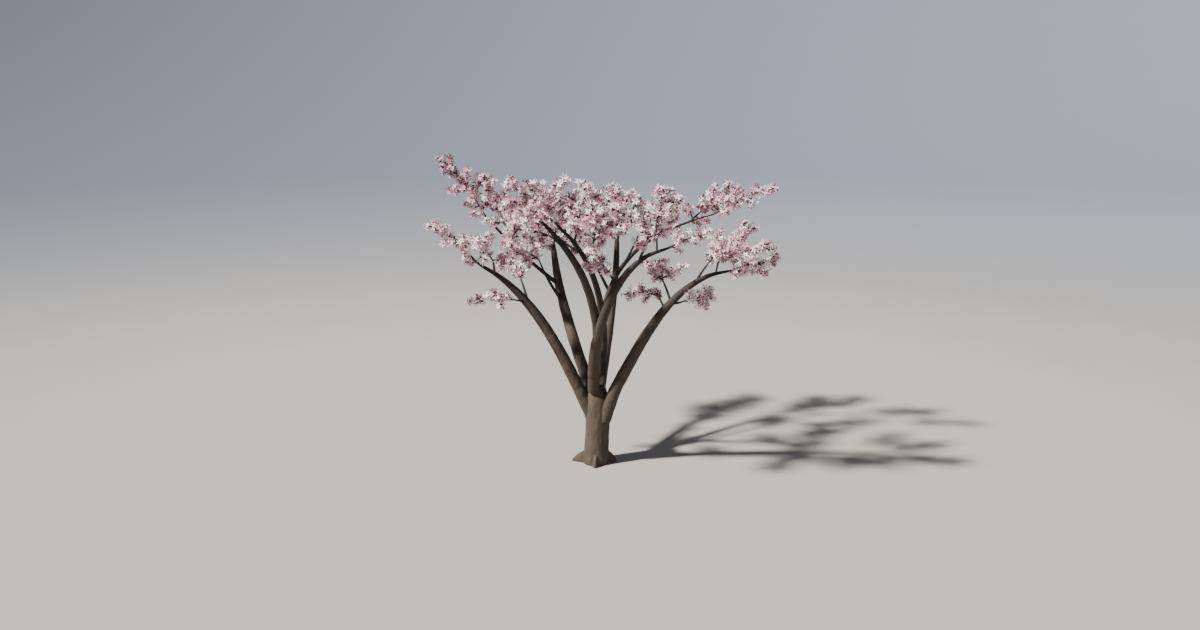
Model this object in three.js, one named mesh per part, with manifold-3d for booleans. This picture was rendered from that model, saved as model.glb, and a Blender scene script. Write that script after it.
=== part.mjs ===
// A flowering cherry in full blossom, at its real size.
//
// One trunk with four root toes forks low down into seven long boughs. Each bough is one tapering
// limb, and thinner side boughs leave the long ones further up. Every bough ends where it enters a
// mass of blossom: twigs that branch by a seeded rule from one stem, with a faceted spray of
// flowers fused on wherever the rule puts one.
//
// Millimetres, +Z up. The origin is the middle of the trunk's flat cut at ground level, and +X runs
// across the widest spread of the crown. Bearings are degrees in plan from +X towards +Y, and leans
// are degrees away from upright.

import * as THREE from 'three';
import { mergeVertices } from 'three/addons/utils/BufferGeometryUtils.js';
import Module from 'manifold-3d';

const wasm = await Module();
wasm.setup();

// ---- Driving dimensions -------------------------------------------------------------------------

const GAP = 0.3; // clear space left where two pieces meet

// The trunk's column, from the ground to the rounded top of its fork. Its foot spreads below
// spreadHeight, and its top rounds in above the shoulder, down to the share called crown. It leans
// towards +X, until it is as far over as lean at leanHeight.
const COLUMN = {
  height: 1680, shoulder: 1150, foot: 530, waist: 492, spreadHeight: 560, crown: 0.45,
  lean: 28, leanHeight: 800,
};

// The root toes: where each one points and how far out it reaches. In plan a toe is a parabola,
// halfWidth to each side at the trunk's axis. The fan gives the degrees off a toe's ridge at which
// the trunk's skin has corners.
const TOES = {
  height: 245, bulge: 1.5, halfWidth: 118, fan: [0, 4, 9, 16],
  each: [
    { bearing: 5, reach: 435 },
    { bearing: 84, reach: 420 },
    { bearing: 170, reach: 510 },
    { bearing: 267, reach: 385 },
  ],
};

// How finely the limbs are drawn, and how the rounded heels of two of them close: how far below
// the foot each ring lies, and how wide it is, as shares of the foot's radius.
const LONG = { sides: 8, steps: 10 };
const SHORT = { sides: 5, steps: 4 };
const HEEL_RINGS = [{ down: 0.6, wide: 0.45 }, { down: 0.38, wide: 0.82 }];

// Every limb: where it starts, how it runs and how it tapers. A long bough starts on the trunk's
// axis at a height, and the others start on another limb at a share of its length. The lean eases
// from the first value to the second, later in the limb where bow is larger, while the bearing
// turns evenly. The width shrinks from the first value to the second by the power called taper.
// A bough with a heel has its foot moved out there, rounded off, to stand on the trunk's side.
const LIMBS = {
  leader: {
    height: 1160, bearing: 74, turn: 0, lean: [34, 0], bow: 3.4,
    length: 3630, width: [280, 104], taper: 1.1, ...LONG,
  },
  bough_left: {
    height: 800, bearing: 187, turn: 0, lean: [24, 62], bow: 2.7,
    length: 4120, width: [252, 56], taper: 2.6, ...LONG,
  },
  bough_right: {
    height: 760, bearing: -32, turn: 0, lean: [28, 82], bow: 3.4,
    length: 4700, width: [252, 40], taper: 2.1, heel: { out: 205, height: 950 }, ...LONG,
  },
  bough_left_rear: {
    height: 1160, bearing: 117, turn: 0, lean: [41, 12], bow: 3.1,
    length: 3650, width: [240, 120], taper: 3.2, ...LONG,
  },
  bough_front: {
    height: 1280, bearing: -107, turn: 96, lean: [27, 79], bow: 5,
    length: 4260, width: [232, 46], taper: 2.2, heel: { out: 170, height: 1600 }, ...LONG,
  },
  bough_right_rear: {
    on: 'leader', share: 0.15, bearing: 104, turn: -112, lean: [-5, 72], bow: 0.86,
    length: 4250, width: [124, 44], taper: 2, ...LONG,
  },
  bough_centre: {
    on: 'leader', share: 0.26, bearing: -82, turn: -58, lean: [25, 53], bow: 2,
    length: 3770, width: [146, 56], taper: 2.5, ...LONG,
  },
  bough_front_left: {
    on: 'bough_front', share: 0.4, bearing: -102, turn: -55, lean: [15, 47], bow: 0.76,
    length: 2950, width: [164, 46], taper: 2.5, ...LONG,
  },
  side_far_left: {
    on: 'bough_left_rear', share: 0.79, bearing: -174, turn: 0, lean: [52, 40], bow: 1,
    length: 2110, width: [92, 40], taper: 1.2, sides: 8, steps: 9,
  },
  side_left_low: side('bough_left', 0.71, -135, [64, 78], 260, 56),
  side_left_inner: side('bough_left', 0.7, 108, [48, 64], 715, 60),
  side_left_front: side('bough_left', 0.92, -86, [55, 71], 740, 50),
  side_left_rear_low: side('bough_left_rear', 0.68, -158, [38, 22], 1025, 70),
  side_left_rear_high: side('side_far_left', 0.53, -126, [45, 33], 555, 48),
  side_crown: side('leader', 0.66, -140, [30, 34], 1000, 76),
  side_right_rear: side('bough_right_rear', 0.73, 65, [66, 76], 680, 56),
  side_right_centre: side('bough_right_rear', 0.56, -48, [40, 30], 1000, 54),
  side_far_right: side('bough_right_rear', 0.88, -43, [66, 74], 1320, 50),
  side_right_upright: side('bough_front', 0.95, 90, [30, 60], 600, 38),
  side_front_right: side('bough_front', 0.85, -70, [40, 50], 600, 56),
  side_centre_low: side('bough_front', 0.7, -145, [40, 28], 395, 44),
  side_front_left: side('bough_front_left', 0.67, -118, [52, 66], 805, 62),
  side_centre: side('bough_centre', 0.86, 81, [60, 46], 400, 50),
  side_centre_left: side('bough_centre', 0.78, 172, [62, 50], 560, 52),
  side_front: side('bough_centre', 0.71, -84, [60, 76], 1170, 64),
  side_right_high: side('bough_right', 0.83, -12, [26, 36], 385, 50),
  side_right_front: side('bough_right', 0.93, -89, [46, 52], 380, 32),
  side_right_under: side('bough_right', 0.69, -72, [84, 72], 545, 58),
  side_right_inner_low: side('bough_right', 0.65, 114, [60, 46], 310, 50),
  side_right_inner: side('bough_right', 0.69, 96, [70, 78], 940, 56),
};

// Every mass of blossom, on the tip of the limb that it is named after: the way its far tip lies
// from there, how far off it is, and half the width and half the height that its twigs spread to.
const MASSES = {
  left: mass('bough_left', -167, 51, 1260, 340, 180),
  left_low: mass('side_left_low', -166, 88, 950, 320, 200),
  left_inner: mass('side_left_inner', 125, 64, 680, 460, 260),
  left_front: mass('side_left_front', -112, 57, 1030, 480, 280),
  far_left: mass('side_far_left', 172, 40, 1620, 460, 340),
  left_rear_low: mass('side_left_rear_low', -170, 62, 900, 480, 340),
  left_rear_high: mass('side_left_rear_high', 141, 37, 1490, 560, 380),
  left_rear: mass('bough_left_rear', 114, 37, 1640, 720, 460),
  top: mass('leader', 88, 43, 1440, 760, 460),
  crown: mass('side_crown', 170, 32, 1100, 620, 460),
  right_rear: mass('bough_right_rear', -18, 56, 1330, 620, 320),
  right_centre: mass('side_right_centre', -10, 44, 900, 600, 380),
  right_far_rear: mass('side_right_rear', 49, 60, 1220, 640, 340),
  far_right: mass('side_far_right', -20, 67, 1385, 380, 220),
  right_upright: mass('side_right_upright', 66, 47, 900, 560, 400),
  front: mass('bough_front', -17, 71, 830, 320, 200),
  front_right: mass('side_front_right', -107, 47, 1150, 560, 340),
  centre_low: mass('side_centre_low', -141, 68, 510, 340, 200),
  front_left: mass('bough_front_left', -147, 39, 800, 520, 340),
  front_left_low: mass('side_front_left', -145, 79, 900, 560, 360),
  centre: mass('bough_centre', 115, 8, 810, 560, 420),
  centre_top: mass('side_centre', 63, 36, 940, 620, 420),
  centre_left: mass('side_centre_left', 168, 56, 900, 560, 380),
  front_centre: mass('side_front', -81, 48, 1180, 620, 340),
  right: mass('bough_right', -26, 77, 830, 500, 280),
  right_high: mass('side_right_high', 18, 55, 1200, 500, 280),
  right_front: mass('side_right_front', -30, 73, 1100, 500, 280),
  right_under: mass('side_right_under', -24, 79, 600, 400, 280),
  right_inner_low: mass('side_right_inner_low', 160, 88, 700, 320, 170),
  right_inner: mass('side_right_inner', 92, 76, 950, 760, 190),
};

// The stem of a mass: the share of its reach over which it holds its limb's way, how high and how
// far along it arches, and the bare share of it before its own sprays, less in a slim mass.
const STEM = { onward: 0.14, arch: 14, crest: 0.62, bare: 0.8, slimWidth: 520, slimBare: 0.3 };

// The fullness of a mass along its stem: half a sine wave, cut off at both ends and raised to a
// power, so that it is blunt where the stem starts and rounded at its far tip.
const FULL = { from: 0.12, to: 0.92, power: 0.5 };

// The twigs of a mass: the room that each one takes, its angle to the stem at the foot and at the
// tip of the mass, the turn from one to the next, how far it sags, its radius at both ends, and the
// shortest worth growing. It keeps within the share called edge of the mass's space. Each of the
// tries is a share of its full length, and the first that has room is grown.
const TWIG = {
  room: 125000, spread: [66, 40], turn: 137.5, sag: 0.1, foot: 12, tip: 8, least: 130,
  edge: 0.85, first: 0.06, last: 0.86, longest: [0.85, 1], tries: [1, 0.85, 0.7, 0.55, 0.4],
};

// One faceted spray of flowers: its length along the twig, half its width and half its height, how
// much its size varies, how far it rolls, the bare share of a twig before the first one, the share
// of its width that stays clear of limbs, and the sizes that are tried.
const SPRAY = {
  length: 200, width: 185, height: 130, vary: 0.35, roll: 35, bare: 0.14, clear: 0.8,
  sizes: [1, 0.75, 0.55],
};

// How much nearer its own stem a point must be than any other mass's, as a share and outright.
const APART = { share: 1.02, least: 0.03 };

// Seeds: the first mass's, and the step from one mass to the next.
const SEED = { first: 101, step: 37 };

const BARK = new THREE.MeshStandardMaterial({ color: 0x6b5343, roughness: 0.85, metalness: 0 });
const BLOSSOM = [0xf3e4e0, 0xe7b4bf, 0xb97487].map(
  (color) => new THREE.MeshStandardMaterial({ color, roughness: 0.7, metalness: 0 }),
);

/** A side bough: a short limb that leaves another at a share of its length. */
function side(on, share, bearing, lean, length, width) {
  return {
    on, share, bearing, turn: 0, lean, bow: 1, length,
    width: [width, 34], taper: 1.5, ...SHORT,
  };
}

/** A mass of blossom on the tip of a limb. */
function mass(limb, bearing, lean, reach, width, height) {
  return { limb, bearing, lean, reach, width, height };
}

// ---- Small tools --------------------------------------------------------------------------------

const rad = THREE.MathUtils.degToRad;

/** The unit vector at a lean from upright and a bearing in plan, both in degrees. */
function heading(lean, bearing) {
  const out = Math.sin(rad(lean));
  return new THREE.Vector3(
    out * Math.cos(rad(bearing)),
    out * Math.sin(rad(bearing)),
    Math.cos(rad(lean)),
  );
}

/** A repeatable stream of numbers from 0 to 1. */
function seeded(seed) {
  let state = seed;
  return () => {
    state = (state * 16807) % 2147483647;
    return state / 2147483647;
  };
}

/** A closed indexed geometry as a solid. */
function solidOf(geometry) {
  const bare = geometry.clone();
  bare.deleteAttribute('normal');
  bare.deleteAttribute('uv');
  const merged = mergeVertices(bare, 1e-4);
  return new wasm.Manifold(new wasm.Mesh({
    numProp: 3,
    vertProperties: Float32Array.from(merged.attributes.position.array),
    triVerts: Uint32Array.from(merged.index.array),
  }));
}

/** A solid as a geometry with flat faces. */
function geometryOf(solid) {
  const { vertProperties, triVerts } = solid.getMesh();
  const geometry = new THREE.BufferGeometry();
  geometry.setAttribute('position', new THREE.BufferAttribute(vertProperties, 3));
  geometry.setIndex(new THREE.BufferAttribute(triVerts, 1));
  const flat = geometry.toNonIndexed();
  flat.computeVertexNormals();
  return flat;
}

/** The largest body of a solid, which drops loose scraps. */
function largest(solid) {
  return solid.decompose().sort((a, b) => b.volume() - a.volume())[0];
}

/** Whether two solids' boxes meet. */
function boxesMeet(a, b) {
  const first = a.boundingBox();
  const second = b.boundingBox();
  return [0, 1, 2].every((k) => first.min[k] < second.max[k] && second.min[k] < first.max[k]);
}

/**
 * A closed skin over stacked rings of points that run upwards or outwards. Both ends are fans: from
 * a corner of the ring, or from a middle point for each end where the ring's outline is hollow.
 */
function skin(rings, middles = []) {
  const sides = rings[0].length;
  const points = [...rings.flat(), ...middles];
  const faces = [];
  for (let r = 0; r + 1 < rings.length; r += 1) {
    for (let s = 0; s < sides; s += 1) {
      const a = r * sides + s;
      const b = r * sides + ((s + 1) % sides);
      faces.push(a, b, b + sides, a, b + sides, a + sides);
    }
  }
  const last = (rings.length - 1) * sides;
  const [foot, tip] = middles.length ? [points.length - 2, points.length - 1] : [0, last];
  for (let s = 0; s < sides; s += 1) {
    const after = (s + 1) % sides;
    if (foot !== s && foot !== after) faces.push(foot, after, s);
    if (tip !== last + s && tip !== last + after) faces.push(tip, last + s, last + after);
  }
  const geometry = new THREE.BufferGeometry().setFromPoints(points);
  geometry.setIndex(faces);
  return geometry;
}

/** Rings round a path, each square to it, carried along so that they don't twist. */
function tube(path, radii, sides) {
  const normal = new THREE.Vector3(0, 0, 1).cross(path[1].clone().sub(path[0]).normalize());
  normal.normalize();
  const rings = path.map((point, i) => {
    const before = path[Math.max(i - 1, 0)];
    const after = path[Math.min(i + 1, path.length - 1)];
    const along = after.clone().sub(before).normalize();
    normal.addScaledVector(along, -normal.dot(along)).normalize();
    const across = along.clone().cross(normal);
    return Array.from({ length: sides }, (_, s) => {
      const angle = (2 * Math.PI * s) / sides;
      return point.clone()
        .addScaledVector(normal, radii[i] * Math.cos(angle))
        .addScaledVector(across, radii[i] * Math.sin(angle));
    });
  });
  return skin(rings);
}

// ---- Trunk and boughs ---------------------------------------------------------------------------

/** The points down a limb's middle, and its radius at each. */
function runOf(limb, steps = limb.steps) {
  const point = limb.on
    ? pointOn(LIMBS[limb.on], limb.share)
    : new THREE.Vector3(0, 0, limb.height);
  const path = [point.clone()];
  for (let i = 0; i < steps; i += 1) {
    const s = (i + 0.5) / steps;
    const lean = limb.lean[0] + (limb.lean[1] - limb.lean[0]) * s ** limb.bow;
    point.addScaledVector(heading(lean, limb.bearing + limb.turn * s), limb.length / steps);
    path.push(point.clone());
  }
  if (limb.heel) {
    path[0] = heading(90, limb.bearing).multiplyScalar(limb.heel.out).setZ(limb.heel.height);
    path[1].lerpVectors(path[0], path[2], 0.5);
  }
  const [foot, tip] = limb.width;
  const radii = path.map((_, i) => (tip + (foot - tip) * (1 - (i / steps) ** limb.taper)) / 2);
  return { path, radii };
}

/** The point at a share of a limb's length. */
function pointOn(limb, share) {
  const { path } = runOf(limb);
  const place = share * (path.length - 1);
  const i = Math.floor(place);
  return path[i].clone().lerp(path[i + 1], place - i);
}

/** Adds the rings that round off the foot of a limb with a heel. */
function roundedFoot({ path: [foot, ...rest], radii }) {
  const back = foot.clone().sub(rest[0]).normalize();
  const ends = HEEL_RINGS.map(({ down }) => foot.clone().addScaledVector(back, radii[0] * down));
  const narrow = HEEL_RINGS.map(({ wide }) => radii[0] * wide);
  return { path: [...ends, foot, ...rest], radii: [...narrow, ...radii] };
}

/** A limb as a solid, grown all round by a margin. */
function limbSolid(name, margin = 0) {
  const run = runOf(LIMBS[name]);
  const { path, radii } = LIMBS[name].heel ? roundedFoot(run) : run;
  return solidOf(tube(path, radii.map((r) => r + margin), LIMBS[name].sides));
}

/** Bearings of the corners round the trunk: a fan at each toe's ridge and two between toes. */
function columnBearings() {
  const { each, fan } = TOES;
  const edge = fan[fan.length - 1];
  return each.flatMap(({ bearing }, i) => {
    const next = i + 1 < each.length ? each[i + 1].bearing : each[0].bearing + 360;
    const room = next - bearing - 2 * edge;
    const between = [1, 2].map((k) => bearing + edge + (room * k) / 3);
    const ahead = fan.slice(1).reverse().map((off) => next - off);
    return [...fan.map((off) => bearing + off), ...between, ...ahead];
  });
}

/** How far out a toe's skin lies at an angle off its ridge, where the ridge itself lies at out. */
function toeSkin(out, degrees) {
  const off = THREE.MathUtils.degToRad(Math.abs(((degrees + 540) % 360) - 180));
  const aside = (2 * out * Math.sin(off)) / TOES.halfWidth;
  return off < Math.PI / 2 ? (2 * out) / (1 + Math.hypot(1, aside)) : 0;
}

/** The trunk's column: a round post with toes at its foot, domed at its fork. */
function columnSolid(margin = 0) {
  const { height, shoulder, foot, waist, spreadHeight, crown, lean, leanHeight } = COLUMN;
  const heights = [
    ...[0, 0.3, 0.65, 1].map((share) => share * TOES.height),
    spreadHeight,
    ...[0, 0.4, 0.75, 1].map((share) => shoulder + (height - shoulder) * share),
  ];
  const bearings = columnBearings();
  const rings = heights.map((z) => {
    const spread = Math.max(0, 1 - z / spreadHeight) ** 2;
    const dome = Math.max(0, (z - shoulder) / (height - shoulder));
    const round = ((waist + (foot - waist) * spread) / 2)
      * Math.sqrt(1 - (1 - crown ** 2) * dome ** 2);
    const low = Math.max(0, 1 - (z / TOES.height) ** TOES.bulge);
    const middle = new THREE.Vector3(lean * Math.min(1, z / leanHeight), 0, 0);
    return bearings.map((angle) => {
      const toes = TOES.each.map(({ bearing, reach }) => (
        toeSkin(round + (reach - round) * low, angle - bearing)
      ));
      const top = z === height ? z + margin : z;
      const radius = Math.max(round, ...toes) + margin;
      return middle.clone().addScaledVector(heading(90, angle), radius).setZ(top);
    });
  });
  const top = new THREE.Vector3(lean, 0, height + margin);
  return solidOf(skin(rings, [new THREE.Vector3(), top]));
}

/** The trunk, which is the column with its leader, and each bough cut clear of what carries it. */
function growLimbs() {
  const placed = { trunk: columnSolid().add(limbSolid('leader')) };
  const grown = [columnSolid(GAP).add(limbSolid('leader', GAP))];
  for (const name of Object.keys(LIMBS).filter((key) => key !== 'leader')) {
    let limb = limbSolid(name);
    for (const other of grown) {
      if (boxesMeet(limb, other)) limb = limb.subtract(other);
    }
    placed[name] = largest(limb);
    grown.push(limbSolid(name, GAP));
  }
  return placed;
}

// ---- Masses of blossom --------------------------------------------------------------------------

/** The middle of a mass: straight on from its limb's tip at first, then bending to its far tip. */
function stemOf({ limb, bearing, lean, reach }) {
  const { path } = runOf(LIMBS[limb]);
  const tip = path[path.length - 1];
  const onward = tip.clone().sub(path[path.length - 2]).normalize();
  const start = tip.clone().addScaledVector(onward, GAP);
  const elbow = start.clone().addScaledVector(onward, reach * STEM.onward);
  const crest = tip.clone().addScaledVector(heading(lean - STEM.arch, bearing), reach * STEM.crest);
  const end = tip.clone().addScaledVector(heading(lean, bearing), reach);
  return new THREE.CubicBezierCurve3(start, elbow, crest, end);
}

/** How wide a mass is at a share of its length, as a share of its full width. */
function fullness(share) {
  return Math.sin(Math.PI * (FULL.from + (FULL.to - FULL.from) * share)) ** FULL.power;
}

const SPACE_STEPS = 12;
const SPACES = Object.entries(MASSES).map(([name, space]) => {
  const stem = stemOf(space);
  return { name, ...space, stem, middle: stem.getPoints(SPACE_STEPS) };
});
const LIMB_RUNS = Object.values(LIMBS).map((limb) => runOf(limb));

/** How far out a point lies in a mass: 0 on its middle, 1 at the edge of its space. */
function depthIn(space, point) {
  let least = Infinity;
  space.middle.forEach((centre, i) => {
    const out = Math.hypot(point.x - centre.x, point.y - centre.y) / space.width;
    const up = (point.z - centre.z) / space.height;
    least = Math.min(least, Math.hypot(out, up) / fullness(i / SPACE_STEPS));
  });
  return least;
}

/** Whether a point lies in a mass's own space, and not in another mass's. */
function ownSpace(own, point) {
  const depth = depthIn(own, point);
  const nearest = depth * APART.share + APART.least;
  return SPACES.every((space) => space === own || depthIn(space, point) > nearest);
}

/** Whether a ball touches any limb. */
function touchesLimb(centre, radius) {
  return LIMB_RUNS.some(({ path, radii }) => path.some((start, i) => {
    if (i + 1 === path.length) return false;
    const segment = new THREE.Line3(start, path[i + 1]);
    const near = segment.closestPointToPoint(centre, true, new THREE.Vector3());
    return near.distanceTo(centre) < radius + Math.max(radii[i], radii[i + 1]) + GAP;
  }));
}

/** Four corners round a curve at a share of its length, rolled round it by an angle. */
function corners(curve, share, wide, high, roll) {
  const centre = curve.getPoint(share);
  const along = curve.getTangent(share);
  const level = new THREE.Vector3(-along.y, along.x, 0).normalize().applyAxisAngle(along, roll);
  const rise = along.clone().cross(level);
  return [[wide, level], [high, rise], [-wide, level], [-high, rise]].map(
    ([out, way]) => centre.clone().addScaledVector(way, out),
  );
}

/** A twig: a four-sided skin down a curve that swells into a spray wherever one has room. */
function twigSolid(own, random, curve, foot, bare) {
  const length = curve.getLength();
  const sprays = Math.max(1, Math.round((length * (1 - bare)) / SPRAY.length));
  const thick = (share) => foot + (TWIG.tip - foot) * share;
  const thin = (share) => corners(curve, share, thick(share), thick(share), 0);
  const rings = [thin(0), thin(bare)];
  for (let k = 0; k < sprays; k += 1) {
    const share = bare + ((1 - bare) * (k + 0.5)) / sprays;
    const full = 1 + SPRAY.vary * (random() - 0.5);
    const roll = rad(SPRAY.roll) * (2 * random() - 1);
    const belly = SPRAY.sizes.map((part) => part * full).map(
      (size) => corners(curve, share, SPRAY.width * size, SPRAY.height * size, roll),
    ).find((ring) => ring.every((corner) => ownSpace(own, corner)));
    const fits = belly && !touchesLimb(curve.getPoint(share), SPRAY.width * SPRAY.clear);
    if (fits) rings.push(belly);
    if (fits || k + 1 === sprays) rings.push(thin(bare + ((1 - bare) * (k + 1)) / sprays));
  }
  return solidOf(skin(rings));
}

/** A side twig of a mass: as long as its space allows, or nothing where it has no room. */
function sideTwig(own, random, share, angle) {
  const start = own.stem.getPoint(share);
  const along = own.stem.getTangent(share);
  const level = new THREE.Vector3(-along.y, along.x, 0).normalize();
  const rise = along.clone().cross(level);
  const outward = level.multiplyScalar(Math.cos(angle)).addScaledVector(rise, Math.sin(angle));
  const spread = rad(TWIG.spread[0] + (TWIG.spread[1] - TWIG.spread[0]) * share);
  const way = along.multiplyScalar(Math.cos(spread)).addScaledVector(outward, Math.sin(spread));
  const [low, high] = TWIG.longest;
  const room = (fullness(share) * (low + (high - low) * random())) / Math.sin(spread)
    / Math.hypot(Math.cos(angle) / own.width, Math.sin(angle) / own.height);
  for (const length of TWIG.tries.map((part) => part * room)) {
    const end = start.clone().addScaledVector(way, length);
    const knee = start.clone().addScaledVector(way, length * 0.5);
    knee.z -= length * TWIG.sag;
    const curve = new THREE.QuadraticBezierCurve3(start, knee, end);
    const clear = depthIn(own, end) < TWIG.edge
      && ownSpace(own, end) && ownSpace(own, curve.getPoint(0.5))
      && [0.3, 0.6, 1].every((part) => !touchesLimb(curve.getPoint(part), TWIG.foot));
    if (length > TWIG.least && clear) return twigSolid(own, random, curve, TWIG.foot, SPRAY.bare);
  }
  return null;
}

/** A mass: its stem, and twigs set round it at the golden angle. */
function growMass(own, seed) {
  const random = seeded(seed);
  const bare = own.width < STEM.slimWidth ? STEM.slimBare : STEM.bare;
  const parts = [twigSolid(own, random, own.stem, LIMBS[own.limb].width[1] / 2, bare)];
  const count = Math.max(4, Math.round((own.reach * (own.width + own.height)) / TWIG.room));
  const turn = random() * 360;
  for (let k = 0; k < count; k += 1) {
    const share = TWIG.first + ((TWIG.last - TWIG.first) * (k + 0.5)) / count;
    const twig = sideTwig(own, random, share, rad(turn + k * TWIG.turn));
    if (twig) parts.push(twig);
  }
  return largest(wasm.Manifold.union(parts));
}

// ---- The tree -----------------------------------------------------------------------------------

const tree = new THREE.Group();

/** Adds one named piece to the tree. */
function addPiece(name, solid, material) {
  const mesh = new THREE.Mesh(geometryOf(solid), material);
  mesh.name = name;
  tree.add(mesh);
}

for (const [name, solid] of Object.entries(growLimbs())) addPiece(name, solid, BARK);

SPACES.forEach((space, i) => {
  const grown = growMass(space, SEED.first + SEED.step * i);
  addPiece(`blossom_${space.name}`, grown, BLOSSOM[i % BLOSSOM.length]);
});

export default tree;
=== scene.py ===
# %% [markdown]
# # A flowering cherry in full blossom
#
# This lesson dresses the imported model of a cherry tree: bark with its relief on the trunk and
# boughs, then twigs, fine shoots, buds and flowers in place of the plain masses of blossom.
# Everything is in metres, +Z up, with the origin in the middle of the trunk's cut at the ground.

from collections import namedtuple

import bpy
import numpy as np
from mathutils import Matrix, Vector


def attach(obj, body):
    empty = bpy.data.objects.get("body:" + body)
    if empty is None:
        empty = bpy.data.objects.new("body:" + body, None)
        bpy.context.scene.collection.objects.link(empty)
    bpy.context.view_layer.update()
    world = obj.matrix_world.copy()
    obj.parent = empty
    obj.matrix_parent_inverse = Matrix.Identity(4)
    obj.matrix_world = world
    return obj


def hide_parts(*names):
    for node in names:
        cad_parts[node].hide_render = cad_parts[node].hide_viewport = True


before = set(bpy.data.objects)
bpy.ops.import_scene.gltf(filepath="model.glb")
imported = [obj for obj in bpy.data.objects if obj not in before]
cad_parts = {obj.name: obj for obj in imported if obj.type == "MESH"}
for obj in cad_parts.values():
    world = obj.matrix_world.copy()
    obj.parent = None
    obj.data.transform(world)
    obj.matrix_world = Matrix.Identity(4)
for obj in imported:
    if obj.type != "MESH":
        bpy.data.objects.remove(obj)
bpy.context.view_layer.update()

# %% [markdown]
# ## The tree's plan
#
# The tree is drawn by a rule, not by hand. Each limb starts on the trunk's axis or at a share of
# another limb, and its lean eases from one angle to another while its bearing turns evenly. The
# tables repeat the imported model's own, so the bark lies where the model's limbs lie. Angles are in
# degrees: a lean is measured from upright, and a bearing in plan from +X towards +Y.

# %% Table of limbs
Limb = namedtuple("Limb", "on start bearing turn lean bow length width taper steps heel")
LONG_STEPS, SHORT_STEPS = 10, 4
SIDE_TIP, SIDE_TAPER = 0.034, 1.5


def bough(on, start, bearing, turn, lean, bow, length, width, taper, steps=LONG_STEPS, heel=None):
    """A long limb, from a height on the trunk's axis or a share of another limb.

    A heel moves its foot that far out from the axis, to that height, and rounds it off.
    """
    return Limb(on, start, bearing, turn, lean, bow, length, width, taper, steps, heel)


def side(on, share, bearing, lean, length, width):
    """A short side limb, from a share of another one."""
    return Limb(on, share, bearing, 0, lean, 1, length, (width, SIDE_TIP), SIDE_TAPER, SHORT_STEPS, None)


LIMBS = {
    "leader": bough(None, 1.16, 74, 0, (34, 0), 3.4, 3.63, (0.28, 0.104), 1.1),
    "bough_left": bough(None, 0.8, 187, 0, (24, 62), 2.7, 4.12, (0.252, 0.056), 2.6),
    "bough_right": bough(None, 0.76, -32, 0, (28, 82), 3.4, 4.7, (0.252, 0.04), 2.1, heel=(0.205, 0.95)),
    "bough_left_rear": bough(None, 1.16, 117, 0, (41, 12), 3.1, 3.65, (0.24, 0.12), 3.2),
    "bough_front": bough(None, 1.28, -107, 96, (27, 79), 5, 4.26, (0.232, 0.046), 2.2, heel=(0.17, 1.6)),
    "bough_right_rear": bough("leader", 0.15, 104, -112, (-5, 72), 0.86, 4.25, (0.124, 0.044), 2),
    "bough_centre": bough("leader", 0.26, -82, -58, (25, 53), 2, 3.77, (0.146, 0.056), 2.5),
    "bough_front_left": bough("bough_front", 0.4, -102, -55, (15, 47), 0.76, 2.95, (0.164, 0.046), 2.5),
    "side_far_left": bough("bough_left_rear", 0.79, -174, 0, (52, 40), 1, 2.11, (0.092, 0.04), 1.2, 9),
    "side_left_low": side("bough_left", 0.71, -135, (64, 78), 0.26, 0.056),
    "side_left_inner": side("bough_left", 0.7, 108, (48, 64), 0.715, 0.06),
    "side_left_front": side("bough_left", 0.92, -86, (55, 71), 0.74, 0.05),
    "side_left_rear_low": side("bough_left_rear", 0.68, -158, (38, 22), 1.025, 0.07),
    "side_left_rear_high": side("side_far_left", 0.53, -126, (45, 33), 0.555, 0.048),
    "side_crown": side("leader", 0.66, -140, (30, 34), 1.0, 0.076),
    "side_right_rear": side("bough_right_rear", 0.73, 65, (66, 76), 0.68, 0.056),
    "side_right_centre": side("bough_right_rear", 0.56, -48, (40, 30), 1.0, 0.054),
    "side_far_right": side("bough_right_rear", 0.88, -43, (66, 74), 1.32, 0.05),
    "side_right_upright": side("bough_front", 0.95, 90, (30, 60), 0.6, 0.038),
    "side_front_right": side("bough_front", 0.85, -70, (40, 50), 0.6, 0.056),
    "side_centre_low": side("bough_front", 0.7, -145, (40, 28), 0.395, 0.044),
    "side_front_left": side("bough_front_left", 0.67, -118, (52, 66), 0.805, 0.062),
    "side_centre": side("bough_centre", 0.86, 81, (60, 46), 0.4, 0.05),
    "side_centre_left": side("bough_centre", 0.78, 172, (62, 50), 0.56, 0.052),
    "side_front": side("bough_centre", 0.71, -84, (60, 76), 1.17, 0.064),
    "side_right_high": side("bough_right", 0.83, -12, (26, 36), 0.385, 0.05),
    "side_right_front": side("bough_right", 0.93, -89, (46, 52), 0.38, 0.032),
    "side_right_under": side("bough_right", 0.69, -72, (84, 72), 0.545, 0.058),
    "side_right_inner_low": side("bough_right", 0.65, 114, (60, 46), 0.31, 0.05),
    "side_right_inner": side("bough_right", 0.69, 96, (70, 78), 0.94, 0.056),
}
print("limbs:", len(LIMBS))

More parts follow.
